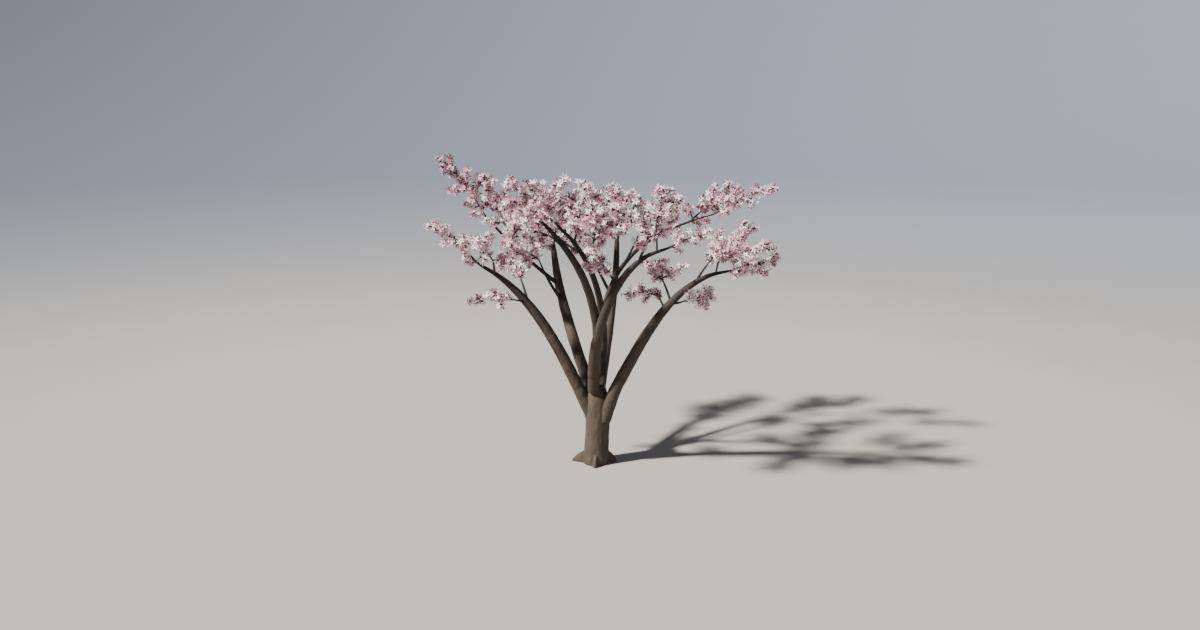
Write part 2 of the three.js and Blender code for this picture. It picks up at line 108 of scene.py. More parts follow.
# %% Table of blossom masses
Mass = namedtuple("Mass", "limb bearing lean reach width height")
MASSES = {
    "left": Mass("bough_left", -167, 51, 1.26, 0.34, 0.18),
    "left_low": Mass("side_left_low", -166, 88, 0.95, 0.32, 0.2),
    "left_inner": Mass("side_left_inner", 125, 64, 0.68, 0.46, 0.26),
    "left_front": Mass("side_left_front", -112, 57, 1.03, 0.48, 0.28),
    "far_left": Mass("side_far_left", 172, 40, 1.62, 0.46, 0.34),
    "left_rear_low": Mass("side_left_rear_low", -170, 62, 0.9, 0.48, 0.34),
    "left_rear_high": Mass("side_left_rear_high", 141, 37, 1.49, 0.56, 0.38),
    "left_rear": Mass("bough_left_rear", 114, 37, 1.64, 0.72, 0.46),
    "top": Mass("leader", 88, 43, 1.44, 0.76, 0.46),
    "crown": Mass("side_crown", 170, 32, 1.1, 0.62, 0.46),
    "right_rear": Mass("bough_right_rear", -18, 56, 1.33, 0.62, 0.32),
    "right_centre": Mass("side_right_centre", -10, 44, 0.9, 0.6, 0.38),
    "right_far_rear": Mass("side_right_rear", 49, 60, 1.22, 0.64, 0.34),
    "far_right": Mass("side_far_right", -20, 67, 1.385, 0.38, 0.22),
    "right_upright": Mass("side_right_upright", 66, 47, 0.9, 0.56, 0.4),
    "front": Mass("bough_front", -17, 71, 0.83, 0.32, 0.2),
    "front_right": Mass("side_front_right", -107, 47, 1.15, 0.56, 0.34),
    "centre_low": Mass("side_centre_low", -141, 68, 0.51, 0.34, 0.2),
    "front_left": Mass("bough_front_left", -147, 39, 0.8, 0.52, 0.34),
    "front_left_low": Mass("side_front_left", -145, 79, 0.9, 0.56, 0.36),
    "centre": Mass("bough_centre", 115, 8, 0.81, 0.56, 0.42),
    "centre_top": Mass("side_centre", 63, 36, 0.94, 0.62, 0.42),
    "centre_left": Mass("side_centre_left", 168, 56, 0.9, 0.56, 0.38),
    "front_centre": Mass("side_front", -81, 48, 1.18, 0.62, 0.34),
    "right": Mass("bough_right", -26, 77, 0.83, 0.5, 0.28),
    "right_high": Mass("side_right_high", 18, 55, 1.2, 0.5, 0.28),
    "right_front": Mass("side_right_front", -30, 73, 1.1, 0.5, 0.28),
    "right_under": Mass("side_right_under", -24, 79, 0.6, 0.4, 0.28),
    "right_inner_low": Mass("side_right_inner_low", 160, 88, 0.7, 0.32, 0.17),
    "right_inner": Mass("side_right_inner", 92, 76, 0.95, 0.76, 0.19),
}
print("masses:", len(MASSES))

# %% [markdown]
# ## Middle lines
#
# A limb is a chain of equal steps. With s running from 0 to 1, its lean is
# lean0 + (lean1 - lean0) * s^bow, its bearing b + turn * s, and each step adds length / steps
# along that direction. A smooth curve through the chain's points keeps the bark from showing
# the steps, and passes through every one of them.

# %% Headings, limb lines and smooth curves


def polar(out, angle, up):
    """Points (out cos angle, out sin angle, up)."""
    return np.stack([out * np.cos(angle), out * np.sin(angle), up], -1)


def heading(lean, bearing):
    """Unit vectors at a lean from upright and a bearing in plan, both in degrees."""
    lean, bearing = np.broadcast_arrays(np.radians(lean), np.radians(bearing))
    return polar(np.sin(lean), bearing, np.cos(lean))


def limb_radius(limb, share):
    """The radius at a share of a limb: (tip + (foot - tip)(1 - share^taper)) / 2."""
    foot, tip = limb.width
    return (tip + (foot - tip) * (1 - share**limb.taper)) / 2


def limb_line(limb):
    """A limb's points and radii, from its foot to its tip."""
    start = np.array([0, 0, limb.start]) if limb.on is None else point_on(LIMBS[limb.on], limb.start)
    s = (np.arange(limb.steps) + 0.5) / limb.steps
    lean = limb.lean[0] + (limb.lean[1] - limb.lean[0]) * s**limb.bow
    steps = heading(lean, limb.bearing + limb.turn * s) * limb.length / limb.steps
    path = start + np.vstack([np.zeros(3), np.cumsum(steps, 0)])
    if limb.heel:
        path[0] = heading(90, limb.bearing) * limb.heel[0] + [0, 0, limb.heel[1]]
        path[1] = (path[0] + path[2]) / 2
    return path, limb_radius(limb, np.arange(limb.steps + 1) / limb.steps)


def point_on(limb, share):
    """The point at a share of a limb's chain, on the straight step that the share falls in."""
    path, _ = limb_line(limb)
    i = min(int(share * limb.steps), limb.steps - 1)
    part = share * limb.steps - i
    return path[i] * (1 - part) + path[i + 1] * part


def smooth_line(points, count):
    """A Catmull-Rom curve: each stretch eases between two points with the slope of their neighbours."""
    padded = np.vstack([2 * points[0] - points[1], points, 2 * points[-1] - points[-2]])
    places = np.linspace(0, len(points) - 1, count)
    i = np.clip(places.astype(int), 0, len(points) - 2)
    t = (places - i)[:, None]
    a, b, c, d = padded[i], padded[i + 1], padded[i + 2], padded[i + 3]
    return 0.5 * (2 * b + (c - a) * t + (2 * a - 5 * b + 4 * c - d) * t**2 + (3 * b - a - 3 * c + d) * t**3)


LINES = {name: limb_line(limb) for name, limb in LIMBS.items()}
print("longest limb:", max(limb.length for limb in LIMBS.values()), "m")

# %% [markdown]
# ## Distance to the wood
#
# Two questions come up again and again: is a twig clear of the limbs, and how near is one limb's
# skin to the next one's? Both are answered by the distance from many points to many short
# straight segments at once: each point is dropped square on to the segment's line, the foot of
# that drop is held between the segment's ends, and the radius there is taken away.

# %% Distances to limbs


def segments(names):
    """Start, end, start radius and end radius of every step of the named limbs."""
    lines = [LINES[name] for name in names]
    starts = np.vstack([path[:-1] for path, _ in lines])
    ends = np.vstack([path[1:] for path, _ in lines])
    first = np.concatenate([radii[:-1] for _, radii in lines])
    last = np.concatenate([radii[1:] for _, radii in lines])
    return starts, ends, first, last


def gap_to(points, names, even=False):
    """How far points lie outside the nearest named limb's skin, less than 0 inside it.

    With even, a step has its larger radius all along, as the growth rule takes it.
    """
    starts, ends, first, last = segments(names)
    run = ends - starts
    offset = points[:, None] - starts
    part = np.clip((offset * run).sum(-1) / (run * run).sum(-1), 0, 1)
    radius = np.maximum(first, last) if even else first + (last - first) * part
    return (np.linalg.norm(offset - run * part[..., None], axis=-1) - radius).min(1)


print("steps in all limbs:", len(segments(LIMBS)[0]))

# %% [markdown]
# ## The growth rule
#
# Every mass of blossom grows from one stem on a limb's tip. The stem holds the limb's way at
# first, arches, and ends at the mass's reach. Side twigs leave it at the golden angle, each as long
# as the mass has room there, and one that would leave the mass, enter another or touch a limb is
# shortened or skipped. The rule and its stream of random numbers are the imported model's, so the
# same twigs grow again in the same places.

# %% Cubic curves, worked on many at a time


def on_curve(curves, t):
    """Points (1-t)^3 a + 3 (1-t)^2 t b + 3 (1-t) t^2 c + t^3 d of cubic curves with corners a b c d."""
    shares = np.stack([(1 - t) ** 3, 3 * (1 - t) ** 2 * t, 3 * (1 - t) * t**2, t**3], -1)
    return (shares[..., None] * curves).sum(-2)


def unit(vectors):
    """Vectors brought to length 1."""
    return vectors / np.linalg.norm(vectors, axis=-1, keepdims=True)


def along_curve(curves, t):
    """Unit tangents: the slope (1-t)^2 (b-a) + 2 (1-t) t (c-b) + t^2 (d-c), brought to length 1."""
    shares = np.stack([(1 - t) ** 2, 2 * (1 - t) * t, t**2], -1)
    return unit((shares[..., None] * np.diff(curves, axis=-2)).sum(-2))


def turned(across, over, angle):
    """Directions cos a across + sin a over."""
    return across * np.cos(angle)[..., None] + over * np.sin(angle)[..., None]


def side_frames(curves, t, angle):
    """Tangents at t, and directions square to them, turned round them by an angle."""
    along = along_curve(curves, t)
    level = unit(np.stack([-along[..., 1], along[..., 0], 0 * t], -1))
    return along, turned(level, np.cross(along, level), angle)


def curve_lengths(curves, pieces=200):
    """Lengths of cubic curves, summed over many short pieces."""
    points = on_curve(curves[..., None, :, :], np.linspace(0, 1, pieces + 1))
    return np.linalg.norm(np.diff(points, axis=-2), axis=-1).sum(-1)


def bent(start, knee, end):
    """The cubic curve that is the same as a bend from start to end, pulled towards a knee."""
    return np.stack([start, start + (knee - start) * 2 / 3, end + (knee - end) * 2 / 3, end], -2)


def round_up_half(value):
    """The nearest whole number, with halves going up."""
    return int(value + 0.5)


# %% Stems and the space of each mass
GAP = 0.0003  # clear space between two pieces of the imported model
STEM_ONWARD, STEM_ARCH, STEM_CREST = 0.14, 14, 0.62
SPACE_STEPS = 12
OTHERS_TIMES, OTHERS_MORE = 1.02, 0.03  # how much deeper a point has to lie in any other mass


def stem_of(mass):
    """A mass's middle line, as the four corners of a cubic curve."""
    path, _ = LINES[mass.limb]
    tip = path[-1]
    onward = unit(tip - path[-2])
    start = tip + onward * GAP
    elbow = start + onward * mass.reach * STEM_ONWARD
    crest = tip + heading(mass.lean - STEM_ARCH, mass.bearing) * mass.reach * STEM_CREST
    return np.array([start, elbow, crest, tip + heading(mass.lean, mass.bearing) * mass.reach])


def fullness(share):
    """How wide a mass is along its stem: sqrt(sin(pi (0.12 + 0.8 share))), 1 at its widest."""
    return np.sin(np.pi * (0.12 + 0.8 * share)) ** 0.5


STEMS = np.array([stem_of(mass) for mass in MASSES.values()])
WIDTHS = np.array([mass.width for mass in MASSES.values()])
HEIGHTS = np.array([mass.height for mass in MASSES.values()])
SPACE_SHARES = np.linspace(0, 1, SPACE_STEPS + 1)
MIDDLES = on_curve(STEMS[:, None], SPACE_SHARES)


def depths(points):
    """How far out points lie in every mass: 0 on its middle, 1 at the edge of its space.

    Over the stem's points, the least of hypot(level distance / width, rise / height) / fullness.
    """
    offset = points[:, None, None] - MIDDLES
    out = np.hypot(offset[..., 0], offset[..., 1]) / WIDTHS[:, None]
    up = offset[..., 2] / HEIGHTS[:, None]
    return (np.hypot(out, up) / fullness(SPACE_SHARES)).min(-1)


def own_space(owners, points, edge=np.inf):
    """Whether each point is nearer its own mass's stem than any other's, and within the edge."""
    depth = depths(points)
    rows = np.arange(len(points))
    own = depth[rows, owners]
    depth[rows, owners] = np.inf
    return (depth.min(1) > own * OTHERS_TIMES + OTHERS_MORE) & (own < edge)


print("stems:", len(STEMS), "longest reach:", max(mass.reach for mass in MASSES.values()), "m")

# %% [markdown]
# A side twig takes the room that its mass has in its direction, and is tried shorter and shorter
# until it fits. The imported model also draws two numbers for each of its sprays. They are passed
# over here, so that the stream stays in step and the next twig comes out the same.

# %% The twig rule's numbers
FIRST_SEED, SEED_STEP = 101, 37
TWIG_ROOM = 0.125  # reach times half-sizes that each side twig takes, in square metres
FEWEST_TWIGS, TWIG_FOOT = 4, 0.012
FIRST_TWIG, TWIG_RUN = 0.06, 0.8  # shares of the stem where the twigs begin, and that they take
TWIG_SPREAD = (66, 26)  # degrees out of the stem at its foot, and how much less at its end
LEAST_ROOM, DRAWN_ROOM = 0.85, 0.15
TWIG_TRIES = np.array([1, 0.85, 0.7, 0.55, 0.4])  # shares of its room that a twig is tried at
TWIG_SHORTEST, TWIG_SAG, TWIG_EDGE = 0.13, 0.1, 0.85
TWIG_PROBES = np.array([0.3, 0.6, 1])
GOLDEN_ANGLE = 137.5
SPRAY_LENGTH = 0.2
SIDE_BARE, NARROW_BARE, WIDE_BARE = 0.14, 0.3, 0.8  # bare shares: side twigs, stems of two kinds
WIDE_MASS = 0.52
Twig = namedtuple("Twig", "owner curve foot bare")


def draws(seed):
    """A repeatable stream from 0 to 1: each state is 16807 times the last, modulo 2^31 - 1."""
    state = seed
    while True:
        state = state * 16807 % 2147483647
        yield state / 2147483647


def pass_sprays(random, curve, bare):
    """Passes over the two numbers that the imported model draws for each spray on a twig."""
    sprays = max(1, round_up_half(curve_lengths(curve) * (1 - bare) / SPRAY_LENGTH))
    for _ in range(2 * sprays):
        next(random)


print("first number of the first mass:", round(next(draws(FIRST_SEED)), 6))

# %% Twigs by the rule


def side_twig(owner, mass, random, share, angle):
    """A side twig as long as its space allows, or nothing where it has no room.

    It leaves the stem at 66 - 26 share degrees, and its middle is pulled down by a tenth of its length.
    """
    start = on_curve(STEMS[owner], np.array(share))
    along, outward = side_frames(STEMS[owner], np.array(share), angle)
    spread = np.radians(TWIG_SPREAD[0] - TWIG_SPREAD[1] * share)
    way = along * np.cos(spread) + outward * np.sin(spread)
    room = fullness(share) * (LEAST_ROOM + DRAWN_ROOM * next(random)) / np.sin(spread)
    room /= np.hypot(np.cos(angle) / mass.width, np.sin(angle) / mass.height)
    for length in room * TWIG_TRIES:
        knee = start + way * length / 2 - [0, 0, length * TWIG_SAG]
        curve = bent(start, knee, start + way * length)
        places = on_curve(curve, np.array([0.5, 1]))
        free = own_space([owner], places[1:], TWIG_EDGE)[0] and own_space([owner], places[:1])[0]
        clear = gap_to(on_curve(curve, TWIG_PROBES), LIMBS, even=True).min() >= TWIG_FOOT + GAP
        if length > TWIG_SHORTEST and free and clear:
            pass_sprays(random, curve, SIDE_BARE)
            return Twig(owner, curve, TWIG_FOOT, SIDE_BARE)
    return None


def grow(owner, mass):
    """The stem of a mass and its side twigs, from the mass's own stream of numbers."""
    random = draws(FIRST_SEED + SEED_STEP * owner)
    bare = NARROW_BARE if mass.width < WIDE_MASS else WIDE_BARE
    twigs = [Twig(owner, STEMS[owner], LIMBS[mass.limb].width[1] / 2, bare)]
    pass_sprays(random, STEMS[owner], bare)
    count = max(FEWEST_TWIGS, round_up_half(mass.reach * (mass.width + mass.height) / TWIG_ROOM))
    turn = next(random) * 360
    for k in range(count):
        share = FIRST_TWIG + TWIG_RUN * (k + 0.5) / count
        twigs.append(side_twig(owner, mass, random, share, np.radians(turn + k * GOLDEN_ANGLE)))
    return [twig for twig in twigs if twig]


TWIGS = [twig for owner, mass in enumerate(MASSES.values()) for twig in grow(owner, mass)]
print("stems and side twigs:", len(TWIGS))

# %% [markdown]
# ## Fine shoots
#
# On the real tree every side twig carries shoots, and the shoots carry the flowering spurs. The
# same rule goes one step finer: shoots leave the stems and side twigs at even steps, turned by the
# golden angle, and bend a little upwards. A shoot that has no room is tried shorter, and left out
# if even the shortest would leave its mass or come too near a limb. All shoots are worked out at
# once, so each one is a row that knows its parent and its number there.

# %% Rows for children
MOST_BARE = 0.35
twig_curves = np.array([twig.curve for twig in TWIGS])
twig_owners = np.array([twig.owner for twig in TWIGS])
twig_feet = np.array([twig.foot for twig in TWIGS])
twig_bare = np.array([min(twig.bare, MOST_BARE) for twig in TWIGS])


def numbered(counts):
    """For so many children on each parent: every child's parent, and its number there from 0."""
    parent = np.repeat(np.arange(len(counts)), counts)
    return parent, np.arange(len(parent)) - np.repeat(np.cumsum(counts) - counts, counts)


print("length of all twigs:", round(curve_lengths(twig_curves).sum(), 1), "m")

# %% Shoots on all twigs at once
SHOOT_SPACING, SHOOT_LIFT = 0.06, 0.12
SHOOT_SPREAD, SHOOTS_END = (62, 28), 0.98
SHOOT_LONGEST, SHOOT_SHORTER = (0.09, 0.19), 0.35  # the last shoot is shorter by this share
SHOOT_TRIES = (1, 0.75, 0.55, 0.38)
SHOOT_EDGE, LIMB_CLEARANCE = 0.84, 0.09
rng = np.random.default_rng(2024)


def grow_shoots():
    """The cubic curve of every shoot that has room.

    Shoot k of a twig starts at bare + (0.98 - bare)(k + 1/2) / count, turned by 137.5 k degrees,
    at 62 degrees to the twig near its foot and 34 near its tip.
    """
    clothed = SHOOTS_END - twig_bare
    counts = np.maximum(1, np.rint(curve_lengths(twig_curves) * clothed / SHOOT_SPACING).astype(int))
    parent, k = numbered(counts)
    share = twig_bare[parent] + clothed[parent] * (k + 0.5) / counts[parent]
    angle = np.radians(rng.uniform(0, 360, len(twig_curves))[parent] + k * GOLDEN_ANGLE)
    along, outward = side_frames(twig_curves[parent], share, angle)
    spread = np.radians(SHOOT_SPREAD[0] - SHOOT_SPREAD[1] * share)[:, None]
    way = along * np.cos(spread) + outward * np.sin(spread)
    full = rng.uniform(*SHOOT_LONGEST, len(parent)) * (1 - SHOOT_SHORTER * share)
    start = on_curve(twig_curves[parent], share)
    lifted = way + [0, 0, SHOOT_LIFT]
    length = np.zeros(len(parent))
    for part in SHOOT_TRIES:
        end = start + lifted * (full * part)[:, None]
        fits = own_space(twig_owners[parent], end, SHOOT_EDGE) & (gap_to(end, LIMBS) > LIMB_CLEARANCE)
        length = np.where((length == 0) & fits, full * part, length)
    kept = length > 0
    start, way, lifted, length = start[kept], way[kept], lifted[kept], length[kept, None]
    return bent(start, start + way * length / 2, start + lifted * length)


shoot_curves = grow_shoots()
print("shoots:", len(shoot_curves), "mean length:", round(curve_lengths(shoot_curves).mean(), 3), "m")

# %% [markdown]
# ## Flowering spurs
#
# Cherry flowers open in umbels: a few, each on its own stalk, from one short spur. Spurs sit half
# way along every shoot and at its tip, and at even steps on the stems and twigs. Each spur gets a
# place, the way it points and one of five tints, and everything on it is worked out from those.
# Most spurs of a shoot keep its tint, so the crown has lighter and deeper tufts.

# %% Places, directions and tints of the spurs
SHOOT_SHARES = np.array([0.5, 0.96])
TWIG_SPUR_SPACING = 0.075
TINT_SHARES = {"ivory": 0.25, "blush": 0.25, "pink": 0.23, "rose": 0.16, "mauve": 0.11}
OWN_TINT = 0.75  # share of a shoot's spurs that keep the shoot's own tint
SPUR_ONWARD, SPUR_DROOP, FIRST_SPUR = 0.5, 0.1, 0.7


def spurs_on(curves, t):
    """Places on curves, and directions: out of the curve, half as much along it, and a little down."""
    along, outward = side_frames(curves, t, rng.uniform(0, 2 * np.pi, len(t)))
    return on_curve(curves, t), unit(SPUR_ONWARD * along + outward - [0, 0, SPUR_DROOP])


def twig_spurs():
    """Evenly spaced spurs on the stems and side twigs, past their bare foot."""
    counts = np.rint(curve_lengths(twig_curves) * (1 - twig_bare) / TWIG_SPUR_SPACING).astype(int)
    parent, k = numbered(counts)
    share = twig_bare[parent] + (1 - twig_bare[parent]) * (k + FIRST_SPUR) / counts[parent]
    return spurs_on(twig_curves[parent], np.minimum(share, 1))


def draw_tints(count):
    """So many tints, as their numbers in the table, each as often as its share says."""
    return rng.choice(len(TINT_SHARES), count, p=list(TINT_SHARES.values()))


many = np.repeat(np.arange(len(shoot_curves)), len(SHOOT_SHARES))
shoot_spurs = spurs_on(shoot_curves[many], np.tile(SHOOT_SHARES, len(shoot_curves)))
spur_places, spur_ways = (np.vstack(pair) for pair in zip(shoot_spurs, twig_spurs()))
shoot_tints = draw_tints(len(shoot_curves))
spur_tints = draw_tints(len(spur_places))
own = np.flatnonzero(rng.random(len(many)) < OWN_TINT)
spur_tints[own] = shoot_tints[many[own]]
free = gap_to(spur_places, LIMBS) > LIMB_CLEARANCE
spur_places, spur_ways, spur_tints = spur_places[free], spur_ways[free], spur_tints[free]
print("spurs:", len(spur_places))

# %% [markdown]
# ## One flower, many times
#
# A flower is five petals, each a fan of four faces from its claw to a pointed tip, set apart like
# a star, and one edge a little higher than the other so that the petal is cupped. The petals never
# change, so one small array of points is turned, scaled and moved for every flower at once: point
# = place + size * (x side + y across + z facing). A pattern is its points and its faces.

# %% Outlines carried round a middle


def round_the_middle(outline, turns):
    """An outline's points, as (share out, degrees round, share up), repeated at even turns."""
    angles = np.radians(outline[:, 1]) + (2 * np.pi / turns * np.arange(turns))[:, None]
    return polar(outline[:, 0], angles, outline[:, 2] + 0 * angles).reshape(-1, 3)


def repeat_faces(faces, points, copies):
    """Faces of a pattern for every copy of its points."""
    return (faces + points * np.arange(copies)[:, None, None]).reshape(-1, faces.shape[1])


def cone(sides, radius, low, high):
    """A closed cone: a ring at one height and a point at another, with a flat foot."""
    ring = round_the_middle(np.array([(radius, 0, low)]), sides)
    around = np.arange(sides)
    slope = np.stack([around, (around + 1) % sides, np.full(sides, sides)], -1)
    foot = np.stack([np.zeros(sides - 2, int), around[2:], around[1:-1]], -1)
    return np.vstack([ring, [0, 0, high]]), np.vstack([slope, foot])


def spindle(sides, radius, waist):
    """A closed bud: a point at 0, a ring at the waist and a point at 1."""
    ring = round_the_middle(np.array([(radius, 0, waist)]), sides)
    around = np.arange(sides)
    after = (around + 1) % sides
    upper = np.stack([around, after, np.full(sides, sides)], -1)
    lower = np.stack([after, around, np.full(sides, sides + 1)], -1)
    return np.vstack([ring, [0, 0, 1], [0, 0, 0]]), np.vstack([upper, lower])


print("faces in a bud of 4 sides:", len(spindle(4, 1, 0.5)[1]))

# %% Patterns of a flower, a heart, a bud and a spur
PETALS = 5
PETAL_OUTLINE = np.array([  # share out, degrees round, share up
    (0.05, 0, 0.0), (0.44, -24, 0.08), (0.76, -10, 0.17), (1.0, 0, 0.22), (0.76, 10, 0.2), (0.44, 24, 0.13),
])
PETAL_FACES = np.array([(0, 1, 2), (0, 2, 3), (0, 3, 4), (0, 4, 5)])
FLOWER = round_the_middle(PETAL_OUTLINE, PETALS), repeat_faces(PETAL_FACES, len(PETAL_OUTLINE), PETALS)
HEART = cone(sides=5, radius=0.12, low=0.03, high=0.26)
BUD = spindle(sides=4, radius=0.26, waist=0.62)
SPUR = spindle(sides=5, radius=0.24, waist=0.45)
print("faces in a flower:", len(FLOWER[1]), "in its heart:", len(HEART[1]))

# %% Turning a pattern, and the directions of an umbel
UMBEL_SPREAD = np.radians(110)
STALK_LENGTHS = (0.02, 0.045)


def frames_of(ways):
    """Each unit way with two more unit vectors square to it and to each other."""
    helper = np.eye(3)[np.abs(ways).argmin(1)]
    across = unit(np.cross(ways, helper))
    return ways, across, np.cross(ways, across)


def placed(points, places, ways, sizes):
    """A pattern's points at every place, turned at random about the way that it faces."""
    facing, across, over = frames_of(ways)
    side_way = turned(across, over, rng.uniform(0, 2 * np.pi, len(places)))
    axes = np.stack([side_way, np.cross(facing, side_way), facing], 1)
    return places[:, None] + sizes[:, None, None] * np.einsum("pk,nkc->npc", points, axes)


def umbel(counts, jitter, first=0.0):
    """Spur, direction and stalk end of every flower: golden-angle points over a cap.

    Flower j of n lies at the angle whose cosine is 1 - (1 - cos spread) share from the spur's way,
    turned by 137.5 j degrees. Its share is first + (1 - first)(j + 1/2) / n.
    """
    spur, j = numbered(counts)
    cosine = 1 - (1 - np.cos(UMBEL_SPREAD)) * (first + (1 - first) * (j + 0.5) / counts[spur])
    sine = np.sqrt(1 - cosine**2)
    turn = np.radians(GOLDEN_ANGLE) * j + rng.uniform(0, 2 * np.pi, len(counts))[spur]
    shares = cosine, sine * np.cos(turn), sine * np.sin(turn)
    ways = sum(axis[spur] * part[:, None] for axis, part in zip(frames_of(spur_ways), shares))
    ways = unit(ways + rng.normal(0, jitter, ways.shape))
    return spur, ways, spur_places[spur] + ways * rng.uniform(*STALK_LENGTHS, len(spur))[:, None]


print("a flower can lie up to", round(np.degrees(UMBEL_SPREAD)), "degrees from its spur's way")

# %% Flowers and buds of every umbel
MOST_FLOWERS, MOST_BUDS = 3, 1
FLOWER_SIZES, FLOWER_JITTER = (0.064, 0.084), 0.15
BUD_SIZES, BUD_JITTER, FIRST_BUD = (0.022, 0.032), 0.3, 0.45
flower_counts = rng.integers(1, MOST_FLOWERS + 1, len(spur_places))
flower_spur, flower_ways, flower_places = umbel(flower_counts, FLOWER_JITTER)
bud_counts = rng.integers(0, MOST_BUDS + 1, len(spur_places))
bud_spur, bud_ways, bud_places = umbel(bud_counts, BUD_JITTER, FIRST_BUD)
flower_sizes = rng.uniform(*FLOWER_SIZES, len(flower_places))
bud_sizes = rng.uniform(*BUD_SIZES, len(bud_places))
print("flowers:", len(flower_places), "buds:", len(bud_places))

# %% [markdown]
# ## From arrays to meshes
#
# A mesh is filled from whole arrays: its points in one call, then the corners of its faces, then
# where each face's corners begin. Tubes of all sizes share one function, because a twig, a shoot
# and a stem differ only in their curve, their radii and how many rings and sides they get.

# %% A piece from arrays


def add_object(name, data):
    """An object at the origin, linked into the scene."""
    made = bpy.data.objects.new(name, data)
    bpy.context.scene.collection.objects.link(made)
    return made


def mesh_piece(name, points, faces):
    """A mesh object from points and one or more arrays of faces, riding on the tree's one body."""
    groups = [faces] if isinstance(faces, np.ndarray) else faces
    corners = np.concatenate([group.ravel() for group in groups])
    sizes = np.concatenate([np.full(len(group), group.shape[1]) for group in groups])
    mesh = bpy.data.meshes.new(name)
    mesh.vertices.add(len(points))
    mesh.vertices.foreach_set("co", points.astype(np.float32).ravel())
    mesh.loops.add(len(corners))
    mesh.loops.foreach_set("vertex_index", corners.astype(np.int32))
    mesh.polygons.add(len(sizes))
    mesh.polygons.foreach_set("loop_start", (np.cumsum(sizes) - sizes).astype(np.int32))
    mesh.polygons.foreach_set("use_smooth", np.full(len(sizes), True))
    mesh.update(calc_edges=True)
    mesh.validate()
    piece = add_object(name, mesh)
    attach(piece, "root")
    print(f"{name}: {int((sizes - 2).sum())} triangles")
    return piece


def pattern_piece(name, pattern, places, ways, sizes):
    """One mesh of a pattern's copies, at their places, ways and sizes."""
    points, faces = pattern
    copies = placed(points, places, ways, sizes).reshape(-1, 3)
    return mesh_piece(name, copies, repeat_faces(faces, len(points), len(places)))


# %% Tubes


def grid_faces(rows, columns):
    """Quads between the rows of a grid that closes round on itself."""
    r, s = np.meshgrid(np.arange(rows - 1), np.arange(columns), indexing="ij")
    a, b = r * columns + s, r * columns + (s + 1) % columns
    return np.stack([a, b, b + columns, a + columns], -1).reshape(-1, 4)


def tube_faces(rings, sides):
    """Quads between the rings of one tube, and triangles to a point at each end."""
    s = np.arange(sides)
    after, last = (s + 1) % sides, (rings - 1) * sides
    foot = np.stack([after, s, np.full(sides, rings * sides)], -1)
    tip = np.stack([last + s, last + after, np.full(sides, rings * sides + 1)], -1)
    return grid_faces(rings, sides), np.vstack([foot, tip])


def carried_frames(centres):
    """Directions square to each line at every ring, held to one side of it so they don't twist."""
    along = unit(np.gradient(centres, axis=-2))
    chord = unit(centres[..., -1:, :] - centres[..., :1, :])
    helper = np.eye(3)[np.abs(chord).argmin(-1)]
    held = np.cross(chord, helper)
    across = unit(held - (held * along).sum(-1, keepdims=True) * along)
    return across, np.cross(along, across)


def tubes(centres, radii, sides):
    """Closed tubes round many lines at once: centre + radius (cos a across + sin a over)."""
    count, rings, _ = centres.shape
    across, over = carried_frames(centres)
    a = np.arange(sides) * 2 * np.pi / sides
    ring = turned(across[:, :, None], over[:, :, None], a)
    skin = centres[:, :, None] + radii[:, :, None, None] * ring
    points = np.concatenate([skin.reshape(count, -1, 3), centres[:, :1], centres[:, -1:]], 1)
    each = points.shape[1]
    return points.reshape(-1, 3), [repeat_faces(faces, each, count) for faces in tube_faces(rings, sides)]


print("faces in a tube of 6 rings and 4 sides:", sum(len(group) for group in tube_faces(6, 4)))

# %% [markdown]
# ## Bark
#
# A limb's skin is a grid over its length and the angle round it. Cherry bark is smooth and tight,
# with shallow swellings and the raised, corky bands called lenticels, which run across the limb.
# Each is added as a height on the skin. Where two limbs meet, their wood has grown into a
# collar: a point whose distance d to the other limb's skin is less than the blend k is pushed out
# by (k / 4) (1 - d / k)^2, which is how far a smooth union of the two shapes would stand out.

# %% Relief of the bark
SWELLING_WAVES, SWELLING_GAIN = 7, 1.6
LENTICELS = 190  # in a square metre
LENTICEL_ROUND, LENTICEL_ALONG, LENTICEL_HEIGHT = (0.012, 0.04), (0.0035, 0.006), (0.0012, 0.003)
COLLAR_BLEND = 0.22  # of the thinner limb's radius at its foot


def swellings(grain, size):
    """A smooth field from about -1 to 1: 1.6 times the mean of sine waves in random directions."""
    waves = rng.normal(0, 1, (SWELLING_WAVES, 3)) * 2 * np.pi / size
    phases = rng.uniform(0, 2 * np.pi, SWELLING_WAVES)
    return np.sin(grain @ waves.T + phases).mean(-1) * SWELLING_GAIN


def lenticels(along, angle, radius, length):
    """Raised bands across a limb: rounded bumps, long round it and short along it.

    Each is height sqrt(1 - x^2 - y^2), 0 outside, where x and y are the distances from its middle
    round the limb and along it as shares of its half-sizes.
    """
    count = int(LENTICELS * length * 2 * np.pi * radius.mean())
    ranges = (0, length), (0, 2 * np.pi), LENTICEL_ROUND, LENTICEL_ALONG, LENTICEL_HEIGHT
    field = np.zeros(len(along))
    for place, middle, reach, slim, high in zip(*(rng.uniform(*ends, count) for ends in ranges)):
        near = np.abs(along - place) < slim
        turn = np.abs((angle[near] - middle + np.pi) % (2 * np.pi) - np.pi) * radius[near] / reach
        bump = 1 - turn**2 - ((along[near] - place) / slim) ** 2
        field[near] = np.maximum(field[near], high * np.clip(bump, 0, 1) ** 0.5)
    return field


def collar(points, gap, blend):
    """How far points are pushed out towards a smooth union with another limb."""
    return blend / 4 * np.clip(1 - np.abs(gap) / blend, 0, 1) ** 2


print("widest blend of a collar:", round(COLLAR_BLEND * LIMBS["leader"].width[0] / 2, 3), "m")

# %% [markdown]
# The trunk is one column with four root toes, cut flat at the ground. Its radius is a formula of
# the height and the angle round it, so the toes and the spread of the foot need no modelling.

